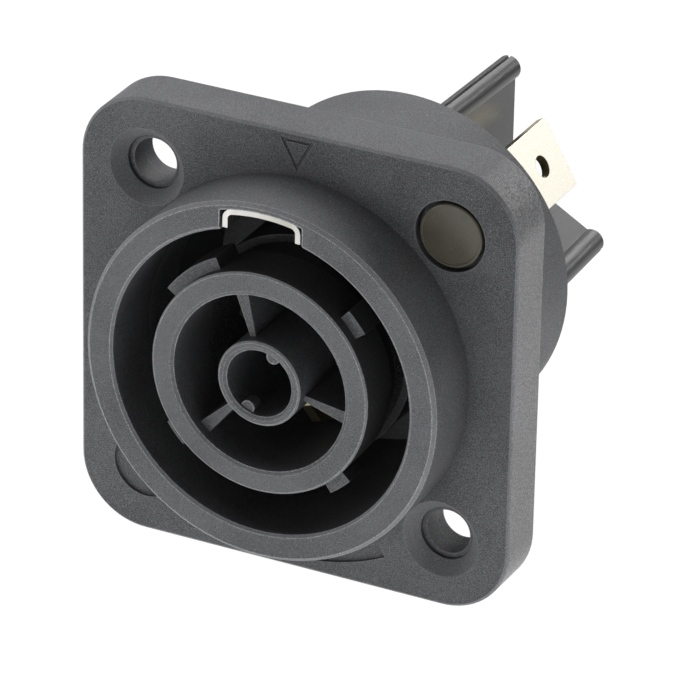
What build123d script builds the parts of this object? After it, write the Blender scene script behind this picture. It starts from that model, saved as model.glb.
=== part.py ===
from build123d import *
from math import cos, radians, sin, tan
import os

# Three-pole chassis power outlet with a square flange, in millimetres.
# The origin is the centre of the flange's rear face, where it meets the panel.
# +Z is up, -Y is the side that the plug comes from, and +Y goes in behind the panel.
# Angles run anticlockwise from +X as seen from the front.

# Square flange
flange_size = 38.0
flange_thickness = 4.6
flange_corner_r = 5.75
flange_draft = 0.5
flange_edge = 0.22

# Two screw holes on one diagonal: a countersink, a neck down to a narrow shelf, the
# bore, the line where the mould's two cores met, and a slightly wider rear end
screw_offset = 13.15
screw_r = 1.88
countersink_r = 3.28
countersink_depth = 1.15
screw_neck_r = 2.27
screw_shelf_depth = 1.5
core_line_depth = 3.4
core_line_size = 0.1
screw_relief_r = 1.95

# Socket collar in front of the flange
collar_r = 15.25
collar_height = 6.05
collar_edge = 0.3
socket_r = 12.96
socket_edge = 0.22

# Barrel behind the flange, bored out from the rear for the two insulating parts
barrel_r = 14.5
barrel_length = 15.6
barrel_edge = 0.3
barrel_wall = 1.0
seat_y = 8.0

# Rib inside the barrel that stops the insulating parts from turning
index_angle = -90.0
index_width = 2.0
index_height = 0.9

# Snap groove in the barrel wall and the bead that clicks into it
snap_y = 13.5
snap_groove_width = 1.4
snap_groove_depth = 0.3
snap_bead_width = 1.0
snap_bead_height = 0.25

# Latch slot at twelve o'clock through the collar, with a steel clip in it
slot_width = 7.12
slot_r = 14.62
slot_depth = 9.6
slot_corner_r = 0.15
clip_sheet = 0.45
clip_bend_r = 0.9
clip_leg_z = 12.7
clip_recess = 0.15
clip_gap = 0.04
clip_side_gap = 0.2

# Marks on the flange: shallow fields, a triangle over the slot and a pressed-in disc
field_depth = 0.3
field_r = 18.05
field_sweep = 55.0
round_field_r = 2.9
round_field_offset = 13.1
triangle_width = 2.9
triangle_top_z = 18.4
triangle_tip_z = 15.75
triangle_line = 0.26
triangle_depth = 0.16
disc_offset = 13.2
disc_r = 2.66
disc_thickness = 0.9
disc_gap = 0.32
disc_sink = 0.06
disc_edge = 0.1
disc_rim_width = 0.24
disc_rim_height = 0.06
disc_stem_r = 0.9
disc_stem_length = 1.6
disc_stem_gap = 0.05

# Contact carrier: inner ring, centre tube and the base that they stand on
ring_outer_r = 9.41
ring_inner_r = 7.5
ring_edge = 0.15
ring_lead_in = 0.3
tube_outer_r = 3.6
tube_inner_r = 2.83
tube_edge = 0.15
tube_lead_in = 0.3
carrier_base = 3.0
carrier_gap = 0.1

# Twist-lock lugs on the ring, one wide and three narrow, with a groove behind them
lug_r = 10.4
lug_setback = 1.12
lug_first_angle = 40.5
lug_sweep = 12.0
wide_lug_sweep = 31.0
groove_r = 8.75
groove_y = -6.45
groove_length = 3.6

# Ribs between ring and tube, and the two keys inside the tube
rib_angle = 106.5
rib_setback = 1.05
rib_outer_width = 1.24
rib_inner_width = 0.42
key_angle = 66.0
key_r = 0.57
key_centre_r = 2.63
key_setback = 0.35
key_length = 1.1

# Stamped contact: a blade in its chamber, a foot and a flat tab. The earth's blade
# reaches further forward, so that it meets the plug first.
contact_sheet = 0.8
tab_angle = 30.0
tab_r = 5.35
tab_width = 6.3
tab_end_y = 34.8
tab_corner = 0.35
tab_lead_in = 0.25
tab_hole_r = 0.98
tab_hole_from_end = 3.9
blade_lead = 16.5
blade_inner_r = 4.15
blade_outer_r = 7.05
earth_blade_tip_y = -4.75
pole_blade_tip_y = -3.15
blade_tip_flat = 0.25
blade_nose_r = 6.15
blade_nose_depth = 0.9
blade_shoulder_depth = 3.5
foot_inner_r = 3.75
foot_pad_width = 2.2
contact_gap = 0.08

# Rear insulator: closing disc and three walls with a beaded outer edge
insulator_thickness = 3.9
wall_angle = 90.0
wall_thickness = 1.2
wall_end_y = 34.5
bead_r = 1.07
bead_root_centre_r = 9.93
bead_end_centre_r = 9.43
bead_notch_width = 0.34
bead_notch_depth = 0.3

# Levels along the axis that several parts share
poles = 3
mouth_y = -(flange_thickness + collar_height)
flange_y = -flange_thickness
barrel_bore_r = barrel_r - barrel_wall
carrier_r = barrel_bore_r - carrier_gap
carrier_rear_y = seat_y + carrier_base
insulator_rear_y = carrier_rear_y + insulator_thickness


def across(y, angle=0.0):
    """Plane across the axis at depth y, facing the front, turned by angle."""
    turn = radians(angle)
    return Plane(origin=(0, y, 0), x_dir=(cos(turn), 0, sin(turn)), z_dir=(0, -1, 0))


def through_axis(angle):
    """Plane that holds the axis: its x is the radius at angle and its y is depth."""
    turn = radians(angle)
    return Plane(origin=(0, 0, 0), x_dir=(cos(turn), 0, sin(turn)), z_dir=(-sin(turn), 0, cos(turn)))


def pole_angles(first):
    """The three angles, a third of a turn apart, that start at first."""
    return [first + 360 / poles * step for step in range(poles)]


front_axis = Axis((0, 0, 0), (0, -1, 0))


def ring_profile(inner, outer, front, rear):
    """Face of a ring's section, to be revolved about the axis."""
    middle = ((inner + outer) / 2, (front + rear) / 2)
    with Locations(middle):
        Rectangle(outer - inner, rear - front)


# Flange housing: one moulding with flange, socket collar and barrel
with BuildPart() as flange_housing:
    rear_size = flange_size + 2 * flange_thickness * tan(radians(flange_draft))
    with BuildSketch(across(0)):
        RectangleRounded(rear_size, rear_size, flange_corner_r)
    extrude(amount=flange_thickness, taper=flange_draft)
    front_face = flange_housing.faces().sort_by(Axis.Y)[0]
    chamfer(front_face.edges(), flange_edge)

    # Shallow fields: a band under the collar and a round one in a corner
    with BuildSketch(through_axis(-90 - field_sweep / 2)):
        ring_profile(socket_r, field_r, flange_y, flange_y + field_depth)
    revolve(axis=front_axis, revolution_arc=field_sweep, mode=Mode.SUBTRACT)
    with BuildSketch(across(flange_y)):
        with Locations((-round_field_offset, -round_field_offset)):
            Circle(round_field_r)
    extrude(amount=-field_depth, mode=Mode.SUBTRACT)

    # Collar and barrel, turned as one form with broken edges
    with BuildSketch(Plane.XY):
        Polygon(
            (0, mouth_y),
            (collar_r - collar_edge, mouth_y),
            (collar_r, mouth_y + collar_edge),
            (collar_r, flange_y / 2),
            (barrel_r, flange_y / 2),
            (barrel_r, barrel_length - barrel_edge),
            (barrel_r - barrel_edge, barrel_length),
            (0, barrel_length),
            align=None,
        )
    revolve(axis=Axis.Y)

    # Socket bore, seat step, rear bore and snap groove
    groove_front = snap_y - snap_groove_width / 2
    groove_rear = snap_y + snap_groove_width / 2
    groove_wall_r = barrel_bore_r + snap_groove_depth
    with BuildSketch(Plane.XY):
        Polygon(
            (0, mouth_y),
            (socket_r + socket_edge, mouth_y),
            (socket_r, mouth_y + socket_edge),
            (socket_r, seat_y),
            (barrel_bore_r, seat_y),
            (barrel_bore_r, groove_front),
            (groove_wall_r, groove_front),
            (groove_wall_r, groove_rear),
            (barrel_bore_r, groove_rear),
            (barrel_bore_r, barrel_length),
            (0, barrel_length),
            align=None,
        )
    revolve(axis=Axis.Y, mode=Mode.SUBTRACT)

    # Index rib along the rear bore
    with BuildSketch(across(seat_y, index_angle)):
        with Locations((barrel_bore_r, 0)):
            Rectangle(2 * index_height, index_width)
        Circle(barrel_bore_r + barrel_wall / 2, mode=Mode.INTERSECT)
    extrude(amount=seat_y - barrel_length)

    # Latch slot
    with BuildSketch(across(mouth_y)) as latch_slot:
        Circle(slot_r)
        Rectangle(slot_width, slot_r, align=(Align.CENTER, Align.MIN), mode=Mode.INTERSECT)
        fillet(latch_slot.vertices().group_by(Axis.Y)[-1], slot_corner_r)
    extrude(amount=-slot_depth, mode=Mode.SUBTRACT)

    # Screw holes, each turned about its own axis
    core_line_y = flange_y + core_line_depth
    for side in (-1, 1):
        screw_centre = (side * screw_offset, 0, -side * screw_offset)
        with BuildSketch(Plane(origin=screw_centre)):
            Polygon(
                (0, flange_y),
                (countersink_r, flange_y),
                (screw_neck_r, flange_y + countersink_depth),
                (screw_neck_r, flange_y + screw_shelf_depth),
                (screw_r, flange_y + screw_shelf_depth),
                (screw_r, core_line_y - core_line_size),
                (screw_relief_r + core_line_size, core_line_y - core_line_size),
                (screw_relief_r + core_line_size, core_line_y),
                (screw_relief_r, core_line_y),
                (screw_relief_r, 0),
                (0, 0),
                align=None,
            )
        revolve(axis=Axis(screw_centre, (0, 1, 0)), mode=Mode.SUBTRACT)

    # Round pocket and stem hole for the pressed-in disc
    with BuildSketch(across(flange_y)):
        with Locations((disc_offset, disc_offset)):
            Circle(disc_r + disc_gap)
    extrude(amount=-(disc_thickness + disc_sink), mode=Mode.SUBTRACT)
    with BuildSketch(across(flange_y)):
        with Locations((disc_offset, disc_offset)):
            Circle(disc_stem_r + disc_stem_gap)
    extrude(amount=-(disc_thickness + disc_sink + disc_stem_length + disc_stem_gap), mode=Mode.SUBTRACT)

    # Engraved triangle that shows which way is up
    with BuildSketch(across(flange_y)):
        Polygon(
            (-triangle_width / 2, triangle_top_z),
            (0, triangle_tip_z),
            (triangle_width / 2, triangle_top_z),
            align=None,
        )
        offset(amount=-triangle_line, mode=Mode.SUBTRACT)
    extrude(amount=-triangle_depth, mode=Mode.SUBTRACT)

# Pressed-in disc with a low rim and a stem, bare on its face
with BuildPart() as marker_disc:
    disc_face_y = flange_y + disc_sink
    with BuildSketch(across(disc_face_y)):
        with Locations((disc_offset, disc_offset)):
            Circle(disc_r)
    extrude(amount=-disc_thickness)
    chamfer(marker_disc.faces().sort_by(Axis.Y)[0].edges(), disc_edge)
    with BuildSketch(across(disc_face_y)):
        with Locations((disc_offset, disc_offset)):
            Circle(disc_r - disc_rim_width)
    extrude(amount=-disc_rim_height, mode=Mode.SUBTRACT)
    with BuildSketch(across(disc_face_y + disc_thickness)):
        with Locations((disc_offset, disc_offset)):
            Circle(disc_stem_r)
    extrude(amount=-disc_stem_length)


# Latch clip: a spring-steel channel bent to the outline of the slot
def clip_outline(top_gap, side_gap, bend_r):
    """Outline of the slot drawn in by the two gaps, with its two bends."""
    with BuildSketch() as outline:
        Circle(slot_r - top_gap)
        with Locations((0, clip_leg_z)):
            Rectangle(
                slot_width - 2 * side_gap,
                slot_r,
                align=(Align.CENTER, Align.MIN),
                mode=Mode.INTERSECT,
            )
        fillet(outline.vertices().group_by(Axis.Y)[-1], bend_r)
    return outline.sketch


clip_outside = clip_outline(clip_gap, clip_side_gap, clip_bend_r)
clip_inside = clip_outline(clip_gap + clip_sheet, clip_side_gap + clip_sheet, clip_bend_r - clip_sheet)
with BuildPart() as latch_clip:
    with BuildSketch(across(mouth_y + clip_recess)):
        add(clip_outside)
        add(clip_inside, mode=Mode.SUBTRACT)
    extrude(amount=-(slot_depth - clip_recess - clip_gap))


# Contacts: the foot lies between carrier and insulator, with its bend relief
def foot_outline(gap):
    """Outline of a contact's foot, grown by gap, with x through the tab's middle."""
    inner = foot_inner_r - gap
    outer = tab_r + contact_sheet / 2 + gap
    with Locations(((inner + outer) / 2, 0)):
        Rectangle(outer - inner, tab_width + 2 * gap)
    with PolarLocations((blade_inner_r + blade_outer_r) / 2, 1, blade_lead):
        Rectangle(blade_outer_r - blade_inner_r + 2 * gap, foot_pad_width + 2 * gap)


def stamped_contact(angle, blade_tip_y):
    """Contact whose tab stands square to the radius at angle."""
    with BuildPart() as contact:
        with BuildSketch(across(carrier_rear_y, angle)):
            foot_outline(0)
        extrude(amount=contact_sheet)

        # Tab with broken corners, a lead-in and its detent hole
        tab_plane = through_axis(angle)
        flat = Plane(
            origin=tab_plane.from_local_coords((tab_r, 0, 0)),
            x_dir=tab_plane.z_dir,
            z_dir=-tab_plane.x_dir,
        )
        tab_front_y = carrier_rear_y - contact_sheet
        with BuildSketch(flat):
            with Locations((0, (tab_front_y + tab_end_y) / 2)):
                Rectangle(tab_width, tab_end_y - tab_front_y)
        extrude(amount=contact_sheet / 2, both=True)
        tip = contact.faces().sort_by(Axis.Y)[-1]
        corners = tip.edges().sort_by(SortBy.LENGTH)[:2]
        chamfer(corners, tab_corner)
        tip = contact.faces().sort_by(Axis.Y)[-1]
        chamfer(tip.edges().sort_by(SortBy.LENGTH)[-2:], tab_lead_in)
        with Locations(flat * Location((0, tab_end_y - tab_hole_from_end))):
            Hole(tab_hole_r)

        # Blade standing forward into its chamber, sloped off on its outer side
        with BuildSketch(through_axis(angle + blade_lead)):
            Polygon(
                (blade_inner_r, tab_front_y),
                (blade_inner_r, blade_tip_y),
                (blade_inner_r + blade_tip_flat, blade_tip_y),
                (blade_nose_r, blade_tip_y + blade_nose_depth),
                (blade_outer_r, blade_tip_y + blade_shoulder_depth),
                (blade_outer_r, tab_front_y),
                align=None,
            )
        extrude(amount=contact_sheet / 2, both=True)
    return contact


# Contact carrier: base, ring and tube, with the plug's lugs, ribs and keys
with BuildPart() as contact_carrier:
    with BuildSketch(Plane.XY):
        ring_profile(0, carrier_r, seat_y, carrier_rear_y)
        Polygon(
            (ring_inner_r, mouth_y + ring_edge),
            (ring_inner_r + ring_lead_in, mouth_y),
            (ring_outer_r - ring_edge, mouth_y),
            (ring_outer_r, mouth_y + ring_edge),
            (ring_outer_r, groove_y),
            (groove_r, groove_y),
            (groove_r, groove_y + groove_length),
            (ring_outer_r, groove_y + groove_length),
            (ring_outer_r, seat_y),
            (ring_inner_r, seat_y),
            align=None,
        )
        Polygon(
            (tube_inner_r, mouth_y + tube_edge),
            (tube_inner_r + tube_lead_in, mouth_y),
            (tube_outer_r - tube_edge, mouth_y),
            (tube_outer_r, mouth_y + tube_edge),
            (tube_outer_r, seat_y),
            (tube_inner_r, seat_y),
            align=None,
        )
    revolve(axis=Axis.Y)

    # Lugs, swept round the ring; the wide one makes the plug fit only one way
    for step in range(4):
        centre = lug_first_angle + 90 * step
        sweep = wide_lug_sweep if step == 1 else lug_sweep
        with BuildSketch(through_axis(centre - sweep / 2)):
            ring_profile((ring_inner_r + ring_outer_r) / 2, lug_r, mouth_y + lug_setback, groove_y)
        revolve(axis=front_axis, revolution_arc=sweep)

    # Tapered ribs between tube and ring
    rib_inner_r = (tube_inner_r + tube_outer_r) / 2
    rib_outer_r = (ring_inner_r + ring_outer_r) / 2
    with BuildSketch(across(mouth_y + rib_setback)):
        with PolarLocations(0, poles, rib_angle):
            Polygon(
                (rib_inner_r, -rib_inner_width / 2),
                (rib_outer_r, -rib_outer_width / 2),
                (rib_outer_r, rib_outer_width / 2),
                (rib_inner_r, rib_inner_width / 2),
                align=None,
            )
    extrude(amount=mouth_y + rib_setback - seat_y)

    # Short keys inside the tube, just behind its rim
    with BuildSketch(across(mouth_y + key_setback)):
        with PolarLocations(key_centre_r, 2, key_angle):
            Circle(key_r)
    extrude(amount=-key_length)

    # Slots for the blades, pockets for the feet and the index notch
    for angle in pole_angles(tab_angle):
        with BuildSketch(across(carrier_rear_y, angle)):
            foot_outline(contact_gap)
        extrude(amount=contact_sheet + contact_gap, mode=Mode.SUBTRACT)
        with BuildSketch(across(carrier_rear_y, angle + blade_lead)):
            with Locations(((blade_inner_r + blade_outer_r) / 2, 0)):
                Rectangle(
                    blade_outer_r - blade_inner_r + 2 * contact_gap,
                    contact_sheet + 2 * contact_gap,
                )
        extrude(amount=carrier_base, mode=Mode.SUBTRACT)
    with BuildSketch(across(carrier_rear_y, index_angle)):
        with Locations((carrier_r, 0)):
            Rectangle(2 * index_height, index_width + 2 * carrier_gap)
    extrude(amount=carrier_base, mode=Mode.SUBTRACT)

# Rear insulator: the disc snaps into the barrel and its walls part the tabs
with BuildPart() as rear_insulator:
    bead_front = snap_y - snap_bead_width / 2
    bead_rear = snap_y + snap_bead_width / 2
    with BuildSketch(Plane.XY):
        Polygon(
            (0, carrier_rear_y),
            (carrier_r, carrier_rear_y),
            (carrier_r, bead_front),
            (carrier_r + snap_bead_height, snap_y),
            (carrier_r + snap_bead_height, bead_rear),
            (carrier_r, bead_rear),
            (carrier_r, insulator_rear_y),
            (0, insulator_rear_y),
            align=None,
        )
    revolve(axis=Axis.Y)

    # Walls, thinned towards the rear by the lean of their beaded edge
    wall_base_y = (carrier_rear_y + insulator_rear_y) / 2
    lean = (bead_root_centre_r - bead_end_centre_r) / (wall_end_y - insulator_rear_y)
    base_centre_r = bead_root_centre_r + lean * (insulator_rear_y - wall_base_y)
    for angle in pole_angles(wall_angle):
        wall_plane = through_axis(angle)
        with BuildSketch(wall_plane):
            Polygon(
                (0, wall_base_y),
                (base_centre_r, wall_base_y),
                (bead_end_centre_r, wall_end_y),
                (0, wall_end_y),
                align=None,
            )
        extrude(amount=wall_thickness / 2, both=True)
        edge_line = -lean * wall_plane.x_dir + wall_plane.y_dir
        with BuildSketch(across(wall_base_y, angle)):
            with Locations((base_centre_r, 0)):
                Circle(bead_r)
        extrude(amount=wall_end_y - wall_base_y, dir=edge_line)
        with BuildSketch(across(wall_base_y, angle)):
            with Locations((base_centre_r + bead_r, 0)):
                Polygon(
                    (-bead_notch_depth, 0),
                    (bead_notch_depth, bead_notch_width),
                    (bead_notch_depth, -bead_notch_width),
                    align=None,
                )
        extrude(amount=2 * wall_end_y, dir=edge_line, mode=Mode.SUBTRACT)

    # Slots for the tabs and the index notch
    for angle in pole_angles(tab_angle):
        with BuildSketch(across(carrier_rear_y, angle)):
            with Locations((tab_r, 0)):
                Rectangle(contact_sheet + 2 * contact_gap, tab_width + 2 * contact_gap)
        extrude(amount=-insulator_thickness, mode=Mode.SUBTRACT)
    with BuildSketch(across(carrier_rear_y, index_angle)):
        with Locations((carrier_r, 0)):
            Rectangle(2 * index_height, index_width + 2 * carrier_gap)
    extrude(amount=-insulator_thickness, mode=Mode.SUBTRACT)

os.makedirs("parts", exist_ok=True)

flange_housing.part.label = "flange_housing"
export_step(flange_housing.part, "parts/flange_housing.step")

marker_disc.part.label = "marker_disc"
export_step(marker_disc.part, "parts/marker_disc.step")

latch_clip.part.label = "latch_clip"
export_step(latch_clip.part, "parts/latch_clip.step")

contact_carrier.part.label = "contact_carrier"
export_step(contact_carrier.part, "parts/contact_carrier.step")

rear_insulator.part.label = "rear_insulator"
export_step(rear_insulator.part, "parts/rear_insulator.step")

line_angle, neutral_angle, earth_angle = pole_angles(tab_angle)

line_contact = stamped_contact(line_angle, pole_blade_tip_y)
line_contact.part.label = "line_contact"
export_step(line_contact.part, "parts/line_contact.step")

neutral_contact = stamped_contact(neutral_angle, pole_blade_tip_y)
neutral_contact.part.label = "neutral_contact"
export_step(neutral_contact.part, "parts/neutral_contact.step")

earth_contact = stamped_contact(earth_angle, earth_blade_tip_y)
earth_contact.part.label = "earth_contact"
export_step(earth_contact.part, "parts/earth_contact.step")
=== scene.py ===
from math import radians

import bpy
from mathutils import Matrix, Vector


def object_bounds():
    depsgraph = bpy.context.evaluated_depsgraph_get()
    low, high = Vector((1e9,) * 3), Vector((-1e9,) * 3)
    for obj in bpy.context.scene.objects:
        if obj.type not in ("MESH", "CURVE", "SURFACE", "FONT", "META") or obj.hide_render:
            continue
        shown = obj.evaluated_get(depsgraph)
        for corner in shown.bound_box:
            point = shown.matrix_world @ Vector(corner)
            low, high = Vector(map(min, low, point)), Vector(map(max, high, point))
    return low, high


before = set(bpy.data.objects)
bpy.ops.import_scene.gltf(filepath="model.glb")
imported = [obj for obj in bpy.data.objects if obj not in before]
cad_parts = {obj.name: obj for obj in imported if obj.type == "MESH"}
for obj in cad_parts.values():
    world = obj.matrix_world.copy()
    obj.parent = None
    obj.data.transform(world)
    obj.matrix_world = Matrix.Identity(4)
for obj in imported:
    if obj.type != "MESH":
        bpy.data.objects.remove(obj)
cad_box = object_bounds()

# Flange housing: flange, socket collar and barrel in one moulding of glass-filled nylon.
# Its mould was spark eroded, which leaves a fine, even, matte grain. Short fibres near the skin
# show as pale flecks, and every edge has a hair of radius and a painted highlight, pale as worn
# edges are.
MM = 0.001
FILLED_NYLON_IOR = 1.53
MOULDED_EDGE = 0.1 * MM
EDGE_SAMPLES = 6

# Real spark-eroded pits are finer, and this grit is as coarse as it has to be to show.
ERODED_GRIT = 0.065 * MM
FIBRE_FLECK = 0.11 * MM
FLECK_RELIEF = 1.5
FLOW_CLOUD = 7.0 * MM
FLOW_CLOUD_SHARE = 0.2
GLOSS_SPREAD = (0.08, -0.1)

# The faces round the mouth are painted paler, painted light, and their edges carry the strongest
# painted highlight.
# All edges and chamfers are painted paler too, a painted highlight that is also as pale as worn
# edges are.
HIGHLIGHT_EDGE_WIDTH = 0.1 * MM
MOUTH_LIGHT_START = -9.9 * MM
MOUTH_LIGHT_END = -10.6 * MM
MOUTH_LIGHT_SHARE = 0.04
CHAMFER_FACING = 0.66
CHAMFER_SPREAD = 0.22
CHAMFER_HIGHLIGHT = 0.16

# The flange's two sides were drawn along the mould's wall, so they came out smoother and
# shinier. The screw holes, which cores made, stay as the rest, with the nylon's plain shine.
FLANGE_MIDDLE = -2.2 * MM
FLANGE_HALF = 2.3 * MM
SCREW_HOLE = (13.15 * MM, 0, 13.15 * MM)
SCREW_HOLE_R = 3.5 * MM
PLAIN_SHINE = 0.5
DRAWN_SHINE = 1.4
DRAWN_GRIT = 0.2 * MM
DRAWN_LESS_GRAIN = 0.008 * MM
DRAWN_SMOOTHNESS = 0.25

# Walls inside this radius, the socket's bore, carry painted shade a little darker than the walls
# further out.
SOCKET_SHADE_R = 13.1 * MM


def srgb(code):
    """Linear colour of an sRGB hex code such as 8a8b8c."""
    channels = [int(code[i : i + 2], 16) / 255 for i in (0, 2, 4)]
    linear = [c / 12.92 if c <= 0.04045 else ((c + 0.055) / 1.055) ** 2.4 for c in channels]
    return [*linear, 1.0]


def set_inputs(material, node, inputs):
    """Gives each named or numbered input of a node a value or another node's output."""
    for name, value in inputs.items():
        if isinstance(value, bpy.types.NodeSocket):
            material.node_tree.links.new(value, node.inputs[name])
        else:
            node.inputs[name].default_value = value


def add_node(material, kind, inputs=None, **settings):
    """Adds a node with its settings and inputs."""
    node = material.node_tree.nodes.new(kind)
    for name, value in settings.items():
        setattr(node, name, value)
    set_inputs(material, node, inputs or {})
    return node


def new_material(name):
    """New node material, and its surface shader, which takes the rest of the nodes."""
    material = bpy.data.materials.new(name)
    material.use_nodes = True
    material.node_tree.nodes.clear()
    shader = add_node(material, "ShaderNodeBsdfPrincipled")
    add_node(material, "ShaderNodeOutputMaterial", {"Surface": shader.outputs["BSDF"]})
    return material, shader


def dress(node_name, material):
    """Gives a piece of the frame its finish."""
    for material_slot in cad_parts[node_name].material_slots:
        material_slot.material = material


def eroded_nylon(name, dark, pale, fleck, pale_highlight_colour, shade_step_r, painted_shade_levels, grit_height, roughness):
    """Moulded nylon with grit, pale fibre flecks, flow clouds, painted highlights and painted
    shade.

    Walls that run along the draw carry painted shade: they are darkened to the first shade level
    within the step radius of the axis, and to the second shade level further out.
    """
    material, shader = new_material(name)
    coordinates = add_node(material, "ShaderNodeTexCoord")
    place = coordinates.outputs["Object"]
    grit = add_node(
        material,
        "ShaderNodeTexNoise",
        {"Vector": place, "Scale": 1 / ERODED_GRIT, "Detail": 2.0, "Roughness": 0.6},
    )
    flecks = add_node(
        material,
        "ShaderNodeTexNoise",
        {"Vector": place, "Scale": 1 / FIBRE_FLECK, "Detail": 3.0, "Roughness": 0.7},
    )
    cloud = add_node(
        material,
        "ShaderNodeTexNoise",
        {"Vector": place, "Scale": 1 / FLOW_CLOUD, "Detail": 2.0},
    )
    place_parts = add_node(material, "ShaderNodeSeparateXYZ", {"Vector": place})
    # Painted light: faces toward the front of the mouth are painted paler.
    mouth_light = add_node(
        material,
        "ShaderNodeMapRange",
        {
            "Value": place_parts.outputs["Y"],
            "From Min": MOUTH_LIGHT_START,
            "From Max": MOUTH_LIGHT_END,
        },
    )
    grit_in_cloud = add_node(
        material,
        "ShaderNodeMath",
        {0: cloud.outputs["Fac"], 1: FLOW_CLOUD_SHARE, 2: grit.outputs["Fac"]},
        operation="MULTIPLY_ADD",
    )
    # The painted light round the mouth is added to the grit tone.
    grit_and_mouth_light = add_node(
        material,
        "ShaderNodeMath",
        {0: mouth_light.outputs["Result"], 1: MOUTH_LIGHT_SHARE, 2: grit_in_cloud.outputs[0]},
        operation="MULTIPLY_ADD",
    )
    grit_tone = add_node(
        material,
        "ShaderNodeMapRange",
        {"Value": grit_and_mouth_light.outputs[0], "From Min": 0.5, "From Max": 0.7},
    )
    body_colour = add_node(
        material,
        "ShaderNodeMix",
        {"Factor": grit_tone.outputs["Result"], 6: srgb(dark), 7: srgb(pale)},
        data_type="RGBA",
    )
    fleck_amount = add_node(
        material,
        "ShaderNodeMapRange",
        {"Value": flecks.outputs["Fac"], "From Min": 0.6, "From Max": 0.7, "To Max": 0.8},
    )
    flecked = add_node(
        material,
        "ShaderNodeMix",
        {"Factor": fleck_amount.outputs["Result"], 6: body_colour.outputs[2], 7: srgb(fleck)},
        data_type="RGBA",
    )
    # Painted highlight: convex edges, found by occlusion inside the solid, are painted paler,
    # also as worn edges are.
    edge_mask = add_node(
        material,
        "ShaderNodeAmbientOcclusion",
        {"Distance": HIGHLIGHT_EDGE_WIDTH},
        samples=EDGE_SAMPLES,
        inside=True,
    )
    # Painted highlight: edges round the mouth take the full highlight, and edges elsewhere a
    # tenth of it.
    mouth_edge_highlight = add_node(
        material,
        "ShaderNodeMapRange",
        {"Value": mouth_light.outputs["Result"], "To Min": 0.1, "To Max": 1.0},
    )
    broken_edge_highlight = add_node(
        material,
        "ShaderNodeMapRange",
        {
            "Value": flecks.outputs["Fac"],
            "From Min": 0.4,
            "From Max": 0.6,
            "To Min": 0.1,
            "To Max": mouth_edge_highlight.outputs["Result"],
        },
    )
    worn_edge_highlight = add_node(
        material,
        "ShaderNodeMapRange",
        {
            "Value": edge_mask.outputs["AO"],
            "From Min": 0.97,
            "From Max": 0.84,
            "To Max": broken_edge_highlight.outputs["Result"],
        },
    )
    normal_parts = add_node(
        material,
        "ShaderNodeSeparateXYZ",
        {"Vector": coordinates.outputs["Normal"]},
    )
    facing = add_node(
        material,
        "ShaderNodeMath",
        {0: normal_parts.outputs["Y"]},
        operation="ABSOLUTE",
    )
    flat_place = add_node(
        material,
        "ShaderNodeVectorMath",
        {0: place, 1: (1, 0, 1)},
        operation="MULTIPLY",
    )
    radius = add_node(
        material,
        "ShaderNodeVectorMath",
        {0: flat_place.outputs["Vector"]},
        operation="LENGTH",
    )
    # Painted shade: the darkening of walls steps from one level to the other at a radius from
    # the axis.
    shade_level_by_radius = add_node(
        material,
        "ShaderNodeMapRange",
        {
            "Value": radius.outputs["Value"],
            "From Min": shade_step_r - MOULDED_EDGE,
            "From Max": shade_step_r + MOULDED_EDGE,
            "To Min": painted_shade_levels[0],
            "To Max": painted_shade_levels[1],
        },
    )
    # Painted shade: walls that run along the draw take that darker level, and faces that look
    # forward keep their colour.
    painted_wall_shade = add_node(
        material,
        "ShaderNodeMapRange",
        {
            "Value": facing.outputs[0],
            "From Min": 0.2,
            "From Max": 0.5,
            "To Min": shade_level_by_radius.outputs["Result"],
        },
    )
    shaded = add_node(
        material,
        "ShaderNodeVectorMath",
        {0: flecked.outputs[2], "Scale": painted_wall_shade.outputs["Result"]},
        operation="SCALE",
    )
    # Painted highlight: sloped faces, such as the chamfers, are painted paler.
    sloped = add_node(
        material,
        "ShaderNodeMath",
        {0: facing.outputs[0], 1: CHAMFER_FACING, 2: CHAMFER_SPREAD},
        operation="COMPARE",
    )
    chamfer_and_edge_highlight = add_node(
        material,
        "ShaderNodeMath",
        {0: sloped.outputs[0], 1: CHAMFER_HIGHLIGHT, 2: worn_edge_highlight.outputs["Result"]},
        operation="MULTIPLY_ADD",
    )
    # The painted highlights mix the pale colour into the colour.
    colour = add_node(
        material,
        "ShaderNodeMix",
        {"Factor": chamfer_and_edge_highlight.outputs[0], 6: shaded.outputs["Vector"], 7: srgb(pale_highlight_colour)},
        data_type="RGBA",
    )
    beside_axis = add_node(
        material,
        "ShaderNodeVectorMath",
        {0: flat_place.outputs["Vector"]},
        operation="ABSOLUTE",
    )
    from_hole = add_node(
        material,
        "ShaderNodeVectorMath",
        {0: beside_axis.outputs["Vector"], 1: SCREW_HOLE},
        operation="DISTANCE",
    )
    outside_hole = add_node(
        material,
        "ShaderNodeMath",
        {0: from_hole.outputs["Value"], 1: SCREW_HOLE_R},
        operation="GREATER_THAN",
    )
    in_flange = add_node(
        material,
        "ShaderNodeMath",
        {0: place_parts.outputs["Y"], 1: FLANGE_MIDDLE, 2: FLANGE_HALF},
        operation="COMPARE",
    )
    flange_wall = add_node(
        material,
        "ShaderNodeMath",
        {0: outside_hole.outputs[0], 1: in_flange.outputs[0]},
        operation="MULTIPLY",
    )
    sideways = add_node(
        material,
        "ShaderNodeMath",
        {0: normal_parts.outputs["X"]},
        operation="ABSOLUTE",
    )
    drawn = add_node(
        material,
        "ShaderNodeMapRange",
        {
            "Value": sideways.outputs[0],
            "From Min": 0.35,
            "From Max": 0.85,
            "To Max": flange_wall.outputs[0],
        },
    )
    drawn_grit = add_node(
        material,
        "ShaderNodeTexNoise",
        {"Vector": place, "Scale": 1 / DRAWN_GRIT, "Detail": 3.0, "Roughness": 0.7},
    )
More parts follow.
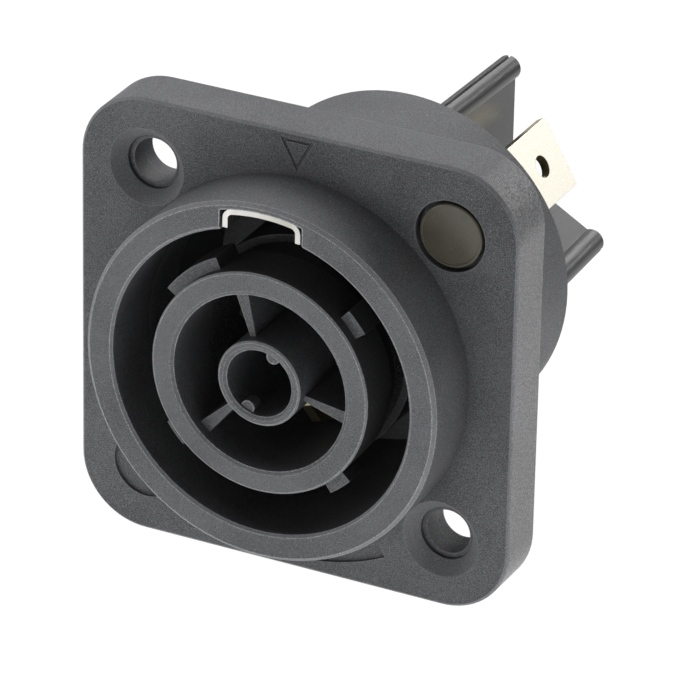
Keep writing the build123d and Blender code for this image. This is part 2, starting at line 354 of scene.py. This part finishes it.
    grain_shine = add_node(
        material,
        "ShaderNodeMapRange",
        {
            "Value": drawn_grit.outputs["Fac"],
            "From Min": 0.43,
            "From Max": 0.6,
            "To Max": DRAWN_SHINE,
        },
    )
    drawn_shine = add_node(
        material,
        "ShaderNodeMath",
        {0: drawn.outputs["Result"], 1: grain_shine.outputs["Result"], 2: PLAIN_SHINE},
        operation="MULTIPLY_ADD",
    )
    grain_height = add_node(
        material,
        "ShaderNodeMath",
        {0: drawn.outputs["Result"], 1: -DRAWN_LESS_GRAIN, 2: grit_height},
        operation="MULTIPLY_ADD",
    )
    edge = add_node(
        material,
        "ShaderNodeBevel",
        {"Radius": MOULDED_EDGE},
        samples=EDGE_SAMPLES,
    )
    gloss = add_node(
        material,
        "ShaderNodeMapRange",
        {
            "Value": flecks.outputs["Fac"],
            "From Min": 0.3,
            "From Max": 0.75,
            "To Min": roughness + GLOSS_SPREAD[0],
            "To Max": roughness + GLOSS_SPREAD[1],
        },
    )
    drawn_gloss = add_node(
        material,
        "ShaderNodeMath",
        {0: drawn.outputs["Result"], 1: -DRAWN_SMOOTHNESS, 2: gloss.outputs["Result"]},
        operation="MULTIPLY_ADD",
    )
    grit_relief = add_node(
        material,
        "ShaderNodeMath",
        {0: flecks.outputs["Fac"], 1: FLECK_RELIEF, 2: grit.outputs["Fac"]},
        operation="MULTIPLY_ADD",
    )
    relief = add_node(
        material,
        "ShaderNodeBump",
        {
            "Height": grit_relief.outputs[0],
            "Strength": 1.0,
            "Distance": grain_height.outputs[0],
            "Normal": edge.outputs["Normal"],
        },
    )
    set_inputs(
        material,
        shader,
        {
            "Base Color": colour.outputs[2],
            "Roughness": drawn_gloss.outputs[0],
            "Specular IOR Level": drawn_shine.outputs[0],
            "Normal": relief.outputs["Normal"],
            "IOR": FILLED_NYLON_IOR,
        },
    )
    return material


dress(
    "flange_housing",
    eroded_nylon(
        "glass-filled nylon, spark-eroded mould",
        dark="292a2c",
        pale="66676a",
        fleck="9a9b9f",
        # Pale colour of the painted edge and chamfer highlights.
        pale_highlight_colour="c2c3c6",
        # Painted shade darkens the socket's bore slightly.
        shade_step_r=SOCKET_SHADE_R,
        painted_shade_levels=(0.95, 1.0),
        grit_height=0.028 * MM,
        roughness=0.56,
    ),
)

# Contact carrier: the insert with ring, lugs, ribs and keyed tube, moulded in the same nylon
# with a finer grain. The ring's outer wall carries strong painted shade, so it looks darker
# than the walls of the chambers inside the ring.
RING_SHADE_R = 8.3 * MM

dress(
    "contact_carrier",
    eroded_nylon(
        "glass-filled nylon, finely eroded insert",
        dark="2c2d2f",
        pale="66676a",
        fleck="96979b",
        # Pale colour of the painted edge and chamfer highlights.
        pale_highlight_colour="c2c3c6",
        # Painted shade darkens the ring's outer wall to under half its colour.
        shade_step_r=RING_SHADE_R,
        painted_shade_levels=(1.0, 0.45),
        grit_height=0.022 * MM,
        roughness=0.52,
    ),
)

# Rear insulator: closing disc and three beaded walls, moulded in nylon without glass.
# Its mould was only ground and stoned along the draw, so it is satin, with short drawn lines.
# Those of a real mould are finer, and these are as coarse as they have to be to show.
DRAW_LINE = 0.12 * MM
DRAW_LINE_LENGTH = 1.5 * MM
DRAW_LINE_HEIGHT = 0.014 * MM
PLAIN_NYLON_IOR = 1.5

insulator_nylon, insulator_shader = new_material("unfilled nylon, stoned mould, satin")
insulator_place = add_node(insulator_nylon, "ShaderNodeTexCoord").outputs["Object"]
drawn_space = add_node(
    insulator_nylon,
    "ShaderNodeMapping",
    {
        "Vector": insulator_place,
        "Scale": (1 / DRAW_LINE, 1 / DRAW_LINE_LENGTH, 1 / DRAW_LINE),
    },
)
drawn_lines = add_node(
    insulator_nylon,
    "ShaderNodeTexNoise",
    {"Vector": drawn_space.outputs["Vector"], "Scale": 1.0, "Detail": 2.0},
)
insulator_cloud = add_node(
    insulator_nylon,
    "ShaderNodeTexNoise",
    {"Vector": insulator_place, "Scale": 1 / FLOW_CLOUD, "Detail": 2.0},
)
insulator_colour = add_node(
    insulator_nylon,
    "ShaderNodeMix",
    {"Factor": insulator_cloud.outputs["Fac"], 6: srgb("222323"), 7: srgb("2b2c2c")},
    data_type="RGBA",
)
insulator_gloss = add_node(
    insulator_nylon,
    "ShaderNodeMapRange",
    {"Value": drawn_lines.outputs["Fac"], "To Min": 0.28, "To Max": 0.42},
)
insulator_edge = add_node(
    insulator_nylon,
    "ShaderNodeBevel",
    {"Radius": MOULDED_EDGE},
    samples=EDGE_SAMPLES,
)
insulator_relief = add_node(
    insulator_nylon,
    "ShaderNodeBump",
    {
        "Height": drawn_lines.outputs["Fac"],
        "Strength": 1.0,
        "Distance": DRAW_LINE_HEIGHT,
        "Normal": insulator_edge.outputs["Normal"],
    },
)
set_inputs(
    insulator_nylon,
    insulator_shader,
    {
        "Base Color": insulator_colour.outputs[2],
        "Roughness": insulator_gloss.outputs["Result"],
        "Normal": insulator_relief.outputs["Normal"],
        "IOR": PLAIN_NYLON_IOR,
    },
)
dress("rear_insulator", insulator_nylon)

# Contacts: stamped from brass strip that was tinned beforehand and then sheared.
# The faces are pale matte tin with rolling lines along the strip, the sheared edges bare brass.
# Real rolling lines are finer, and these are as coarse as they have to be to show.
ROLL_LINE = 0.09 * MM
ROLL_LINE_LENGTH = 4.0 * MM
ROLL_LINE_HEIGHT = 0.008 * MM
TIN_BLOOM = 0.16 * MM
SHEARED_EDGE = 0.06 * MM
FIRST_TAB_ANGLE = 30.0
POLE_PITCH = 120.0


def tinned_brass(name, tab_angle):
    """Tinned brass strip whose broad face looks outwards at tab_angle."""
    material, shader = new_material(name)
    coordinates = add_node(material, "ShaderNodeTexCoord")
    turned = {"Rotation": (0, radians(tab_angle), 0)}
    place = add_node(
        material,
        "ShaderNodeMapping",
        {"Vector": coordinates.outputs["Object"], **turned},
    )
    facing = add_node(
        material,
        "ShaderNodeMapping",
        {"Vector": coordinates.outputs["Normal"], **turned},
        vector_type="VECTOR",
    )
    rolled_space = add_node(
        material,
        "ShaderNodeMapping",
        {
            "Vector": place.outputs["Vector"],
            "Scale": (1 / ROLL_LINE, 1 / ROLL_LINE_LENGTH, 1 / ROLL_LINE),
        },
    )
    rolled = add_node(
        material,
        "ShaderNodeTexNoise",
        {"Vector": rolled_space.outputs["Vector"], "Scale": 1.0, "Detail": 3.0},
    )
    bloom = add_node(
        material,
        "ShaderNodeTexNoise",
        {
            "Vector": place.outputs["Vector"],
            "Scale": 1 / TIN_BLOOM,
            "Detail": 5.0,
            "Roughness": 0.7,
        },
    )
    bloom_tone = add_node(
        material,
        "ShaderNodeMapRange",
        {"Value": bloom.outputs["Fac"], "From Min": 0.35, "From Max": 0.6},
    )
    tin = add_node(
        material,
        "ShaderNodeMix",
        {"Factor": bloom_tone.outputs["Result"], 6: srgb("efe7cd"), 7: srgb("fefbf3")},
        data_type="RGBA",
    )
    outward = add_node(material, "ShaderNodeSeparateXYZ", {"Vector": facing.outputs["Vector"]})
    broad_face = add_node(
        material,
        "ShaderNodeMath",
        {0: outward.outputs["X"]},
        operation="ABSOLUTE",
    )
    plated = add_node(
        material,
        "ShaderNodeMapRange",
        {"Value": broad_face.outputs[0], "From Min": 0.55, "From Max": 0.75},
    )
    colour = add_node(
        material,
        "ShaderNodeMix",
        {"Factor": plated.outputs["Result"], 6: srgb("d2c7a4"), 7: tin.outputs[2]},
        data_type="RGBA",
    )
    gloss = add_node(
        material,
        "ShaderNodeMapRange",
        {"Value": bloom.outputs["Fac"], "To Min": 0.24, "To Max": 0.4},
    )
    edge = add_node(
        material,
        "ShaderNodeBevel",
        {"Radius": SHEARED_EDGE},
        samples=EDGE_SAMPLES,
    )
    relief = add_node(
        material,
        "ShaderNodeBump",
        {
            "Height": rolled.outputs["Fac"],
            "Strength": 0.4,
            "Distance": ROLL_LINE_HEIGHT,
            "Normal": edge.outputs["Normal"],
        },
    )
    set_inputs(
        material,
        shader,
        {
            "Base Color": colour.outputs[2],
            "Metallic": 1.0,
            "Roughness": gloss.outputs["Result"],
            "Normal": relief.outputs["Normal"],
        },
    )
    return material


for pole, contact_name in enumerate(("line_contact", "neutral_contact", "earth_contact")):
    contact_angle = FIRST_TAB_ANGLE + POLE_PITCH * pole
    dress(contact_name, tinned_brass(f"tinned brass strip {contact_name}", contact_angle))

# Latch clip: a channel bent from bright-rolled stainless spring strip and sprung into its slot.
# Rolling leaves fine lines along the strip, which runs round the bends, and a cool bright sheen.
spring_steel, spring_shader = new_material("stainless spring steel, bright rolled")
spring_place = add_node(spring_steel, "ShaderNodeTexCoord").outputs["Object"]
spring_space = add_node(
    spring_steel,
    "ShaderNodeMapping",
    {
        "Vector": spring_place,
        "Scale": (1 / ROLL_LINE_LENGTH, 1 / ROLL_LINE, 1 / ROLL_LINE_LENGTH),
    },
)
spring_lines = add_node(
    spring_steel,
    "ShaderNodeTexNoise",
    {"Vector": spring_space.outputs["Vector"], "Scale": 1.0, "Detail": 3.0},
)
spring_gloss = add_node(
    spring_steel,
    "ShaderNodeMapRange",
    {"Value": spring_lines.outputs["Fac"], "To Min": 0.22, "To Max": 0.38},
)
spring_tone = add_node(
    spring_steel,
    "ShaderNodeMapRange",
    {"Value": spring_lines.outputs["Fac"], "From Min": 0.35, "From Max": 0.62},
)
spring_colour = add_node(
    spring_steel,
    "ShaderNodeMix",
    {"Factor": spring_tone.outputs["Result"], 6: srgb("c4c2ba"), 7: srgb("f4f3ef")},
    data_type="RGBA",
)
spring_edge = add_node(
    spring_steel,
    "ShaderNodeBevel",
    {"Radius": SHEARED_EDGE},
    samples=EDGE_SAMPLES,
)
set_inputs(
    spring_steel,
    spring_shader,
    {
        "Base Color": spring_colour.outputs[2],
        "Metallic": 1.0,
        "Roughness": spring_gloss.outputs["Result"],
        "Normal": spring_edge.outputs["Normal"],
    },
)
dress("latch_clip", spring_steel)

# Marker disc: a round plug of polished acrylic, dark olive brown, pressed into its pocket.
# The polish is slightly wavy, as a small moulded face is, and carries a few fine rub marks.
SINK_WAVE = 1.6 * MM
SINK_DEPTH = 0.05 * MM
RUB_MARK = 0.2 * MM
DISC_EDGE = 0.06 * MM
ACRYLIC_IOR = 1.49

disc_acrylic, disc_shader = new_material("dark acrylic, polished mould")
disc_place = add_node(disc_acrylic, "ShaderNodeTexCoord").outputs["Object"]
disc_wave = add_node(
    disc_acrylic,
    "ShaderNodeTexNoise",
    {"Vector": disc_place, "Scale": 1 / SINK_WAVE, "Detail": 1.0},
)
disc_rub = add_node(
    disc_acrylic,
    "ShaderNodeTexNoise",
    {"Vector": disc_place, "Scale": 1 / RUB_MARK, "Detail": 4.0, "Roughness": 0.7},
)
disc_colour = add_node(
    disc_acrylic,
    "ShaderNodeMix",
    {"Factor": disc_wave.outputs["Fac"], 6: srgb("4a473e"), 7: srgb("5d594e")},
    data_type="RGBA",
)
disc_gloss = add_node(
    disc_acrylic,
    "ShaderNodeMapRange",
    {
        "Value": disc_rub.outputs["Fac"],
        "From Min": 0.35,
        "From Max": 0.7,
        "To Min": 0.16,
        "To Max": 0.3,
    },
)
disc_edge = add_node(
    disc_acrylic,
    "ShaderNodeBevel",
    {"Radius": DISC_EDGE},
    samples=EDGE_SAMPLES,
)
disc_relief = add_node(
    disc_acrylic,
    "ShaderNodeBump",
    {
        "Height": disc_wave.outputs["Fac"],
        "Strength": 0.3,
        "Distance": SINK_DEPTH,
        "Normal": disc_edge.outputs["Normal"],
    },
)
set_inputs(
    disc_acrylic,
    disc_shader,
    {
        "Base Color": disc_colour.outputs[2],
        "Roughness": disc_gloss.outputs["Result"],
        "Normal": disc_relief.outputs["Normal"],
        "IOR": ACRYLIC_IOR,
    },
)
dress("marker_disc", disc_acrylic)

# Floor: plain white card, lit from below, on which the outlet stands on its flange's lower edge.
# The camera sees it nearly white all over, with the outlet's soft shadow left in it. Shiny
# surfaces mirror the white card near the outlet, and a darker floor further off.
FLOOR_SIZE = 3.0
FLOOR_GLOW = 0.92
CARD_FIBRE = 2.0 * MM
SEEN_WHITENESS = 0.95
WHITE_REACH = 0.1
DARK_REACH = 0.2
FAR_FLOOR_LEVEL = 0.15
floor_height = cad_box[0][2]

bpy.ops.object.select_all(action="DESELECT")
bpy.ops.mesh.primitive_plane_add(size=FLOOR_SIZE, location=(0, 0, floor_height))
floor = bpy.context.object
floor.name = "studio_floor"
bpy.ops.object.transform_apply(location=True)
floor_card, floor_shader = new_material("white card, studio floor")
floor_place = add_node(floor_card, "ShaderNodeTexCoord").outputs["Object"]
floor_fibres = add_node(
    floor_card,
    "ShaderNodeTexNoise",
    {"Vector": floor_place, "Scale": 1 / CARD_FIBRE, "Detail": 3.0},
)
floor_colour = add_node(
    floor_card,
    "ShaderNodeMix",
    {"Factor": floor_fibres.outputs["Fac"], 6: srgb("ededed"), 7: srgb("f2f2f2")},
    data_type="RGBA",
)
set_inputs(
    floor_card,
    floor_shader,
    {
        "Base Color": floor_colour.outputs[2],
        "Roughness": 0.9,
        "Emission Color": srgb("ffffff"),
        "Emission Strength": FLOOR_GLOW,
    },
)
floor_rays = add_node(floor_card, "ShaderNodeLightPath")
floor_reach = add_node(floor_card, "ShaderNodeVectorMath", {0: floor_place}, operation="LENGTH")
far_level = add_node(
    floor_card,
    "ShaderNodeMath",
    {0: floor_rays.outputs["Is Glossy Ray"], 1: FAR_FLOOR_LEVEL - 1.0, 2: 1.0},
    operation="MULTIPLY_ADD",
)
mirrored_floor_level = add_node(
    floor_card,
    "ShaderNodeMapRange",
    {
        "Value": floor_reach.outputs["Value"],
        "From Min": WHITE_REACH,
        "From Max": DARK_REACH,
        "To Min": 1.0,
        "To Max": far_level.outputs[0],
    },
)
seen = add_node(
    floor_card,
    "ShaderNodeMath",
    {0: floor_rays.outputs["Is Camera Ray"], 1: floor_rays.outputs["Is Glossy Ray"]},
    operation="MAXIMUM",
)
seen_too = add_node(
    floor_card,
    "ShaderNodeMath",
    {0: seen.outputs[0], 1: floor_rays.outputs["Is Transmission Ray"]},
    operation="MAXIMUM",
)
whiteness = add_node(
    floor_card,
    "ShaderNodeMath",
    {0: seen_too.outputs[0], 1: SEEN_WHITENESS},
    operation="MULTIPLY",
)
floor_white = add_node(
    floor_card,
    "ShaderNodeEmission",
    {"Color": srgb("ffffff"), "Strength": mirrored_floor_level.outputs["Result"]},
)
floor_mix = add_node(
    floor_card,
    "ShaderNodeMixShader",
    {
        0: whiteness.outputs[0],
        1: floor_shader.outputs["BSDF"],
        2: floor_white.outputs["Emission"],
    },
)
floor_output = next(n for n in floor_card.node_tree.nodes if n.type == "OUTPUT_MATERIAL")
set_inputs(floor_card, floor_output, {"Surface": floor_mix.outputs["Shader"]})
floor.data.materials.append(floor_card)

# Studio: a room that looks white but lights the outlet dimly, two large softboxes above and
# behind, and four small lamps to fill in. Shiny surfaces mirror the white sweep behind the
# outlet, a darker band at the horizon where it ends, and the dark side of the room in front.
ROOM_LEVEL = 0.085
DARK_SIDE_LEVEL = 0.2
DARK_SIDE_END = -0.5
SWEEP_START = 0.3
HORIZON_LEVEL = 0.15
HORIZON_TOP = 0.08

# Name, place and width in metres, and power in watts.
STUDIO_LIGHTS = (
    ("rear_softbox", (0.0, 0.57, 0.57), 0.45, 3.1),
    ("left_rear_softbox", (-0.50, 0.08, 0.62), 0.45, 2.9),
    ("right_rear_lamp", (0.40, 0.63, 0.25), 0.12, 0.42),
    ("front_lamp", (0.0, -0.5, 0.06), 0.12, 0.27),
    ("low_left_lamp", (-0.17, -0.26, -0.012), 0.08, 0.165),
    ("right_lamp", (0.25, 0.0, 0.03), 0.08, 0.02),
)

world = bpy.data.worlds.new("white_room")
bpy.context.scene.world = world
world.use_nodes = True
world.node_tree.nodes.clear()
room_rays = add_node(world, "ShaderNodeLightPath")
room_way = add_node(world, "ShaderNodeTexCoord")
room_depth = add_node(world, "ShaderNodeSeparateXYZ", {"Vector": room_way.outputs["Generated"]})
sweep_level = add_node(
    world,
    "ShaderNodeMapRange",
    {
        "Value": room_depth.outputs["Y"],
        "From Min": DARK_SIDE_END,
        "From Max": SWEEP_START,
        "To Min": DARK_SIDE_LEVEL,
        "To Max": 1.0,
    },
)
horizon_level = add_node(
    world,
    "ShaderNodeMapRange",
    {
        "Value": room_depth.outputs["Z"],
        "From Min": 0.0,
        "From Max": HORIZON_TOP,
        "To Min": HORIZON_LEVEL,
        "To Max": 1.0,
    },
)
banded_level = add_node(
    world,
    "ShaderNodeMath",
    {0: sweep_level.outputs["Result"], 1: horizon_level.outputs["Result"]},
    operation="MULTIPLY",
)
mirrored_level = add_node(
    world,
    "ShaderNodeMix",
    {
        "Factor": room_rays.outputs["Is Glossy Ray"],
        "A": ROOM_LEVEL,
        "B": banded_level.outputs[0],
    },
)
room_seen = add_node(
    world,
    "ShaderNodeMath",
    {0: room_rays.outputs["Is Camera Ray"], 1: room_rays.outputs["Is Transmission Ray"]},
    operation="MAXIMUM",
)
room_level = add_node(
    world,
    "ShaderNodeMix",
    {"Factor": room_seen.outputs[0], "A": mirrored_level.outputs["Result"], "B": 1.0},
)
room = add_node(
    world,
    "ShaderNodeBackground",
    {"Color": srgb("ffffff"), "Strength": room_level.outputs["Result"]},
)
add_node(world, "ShaderNodeOutputWorld", {"Surface": room.outputs["Background"]})

for lamp_name, lamp_place, lamp_size, lamp_power in STUDIO_LIGHTS:
    bpy.ops.object.light_add(type="AREA", location=lamp_place)
    lamp = bpy.context.object
    lamp.name = lamp_name
    lamp.rotation_euler = (-Vector(lamp_place)).to_track_quat("-Z", "Y").to_euler()
    lamp.data.size = lamp_size
    lamp.data.energy = lamp_power

# Camera: a long lens at the front right and above, turned and held as the photograph was.
# Its place and directions were solved from the photograph's outlines, in the part's own frame.
CAMERA_PLACE = Vector((176.62, -356.36, 198.14)) * MM
IMAGE_RIGHT = Vector((0.8943, 0.4471, 0.0190))
VIEW_DIRECTION = Vector((-0.3920, 0.8030, -0.4489))
CAMERA_LENS = 288.99
CAMERA_SENSOR = 36.0

view_axis = -VIEW_DIRECTION.normalized()
image_up = view_axis.cross(IMAGE_RIGHT).normalized()
image_right = image_up.cross(view_axis)
bpy.ops.object.camera_add()
camera = bpy.context.object
camera.matrix_world = Matrix.LocRotScale(
    CAMERA_PLACE,
    Matrix((image_right, image_up, view_axis)).transposed(),
    None,
)
camera.data.lens = CAMERA_LENS
camera.data.sensor_width = CAMERA_SENSOR
bpy.context.scene.camera = camera
bpy.context.scene.view_settings.view_transform = "Standard"
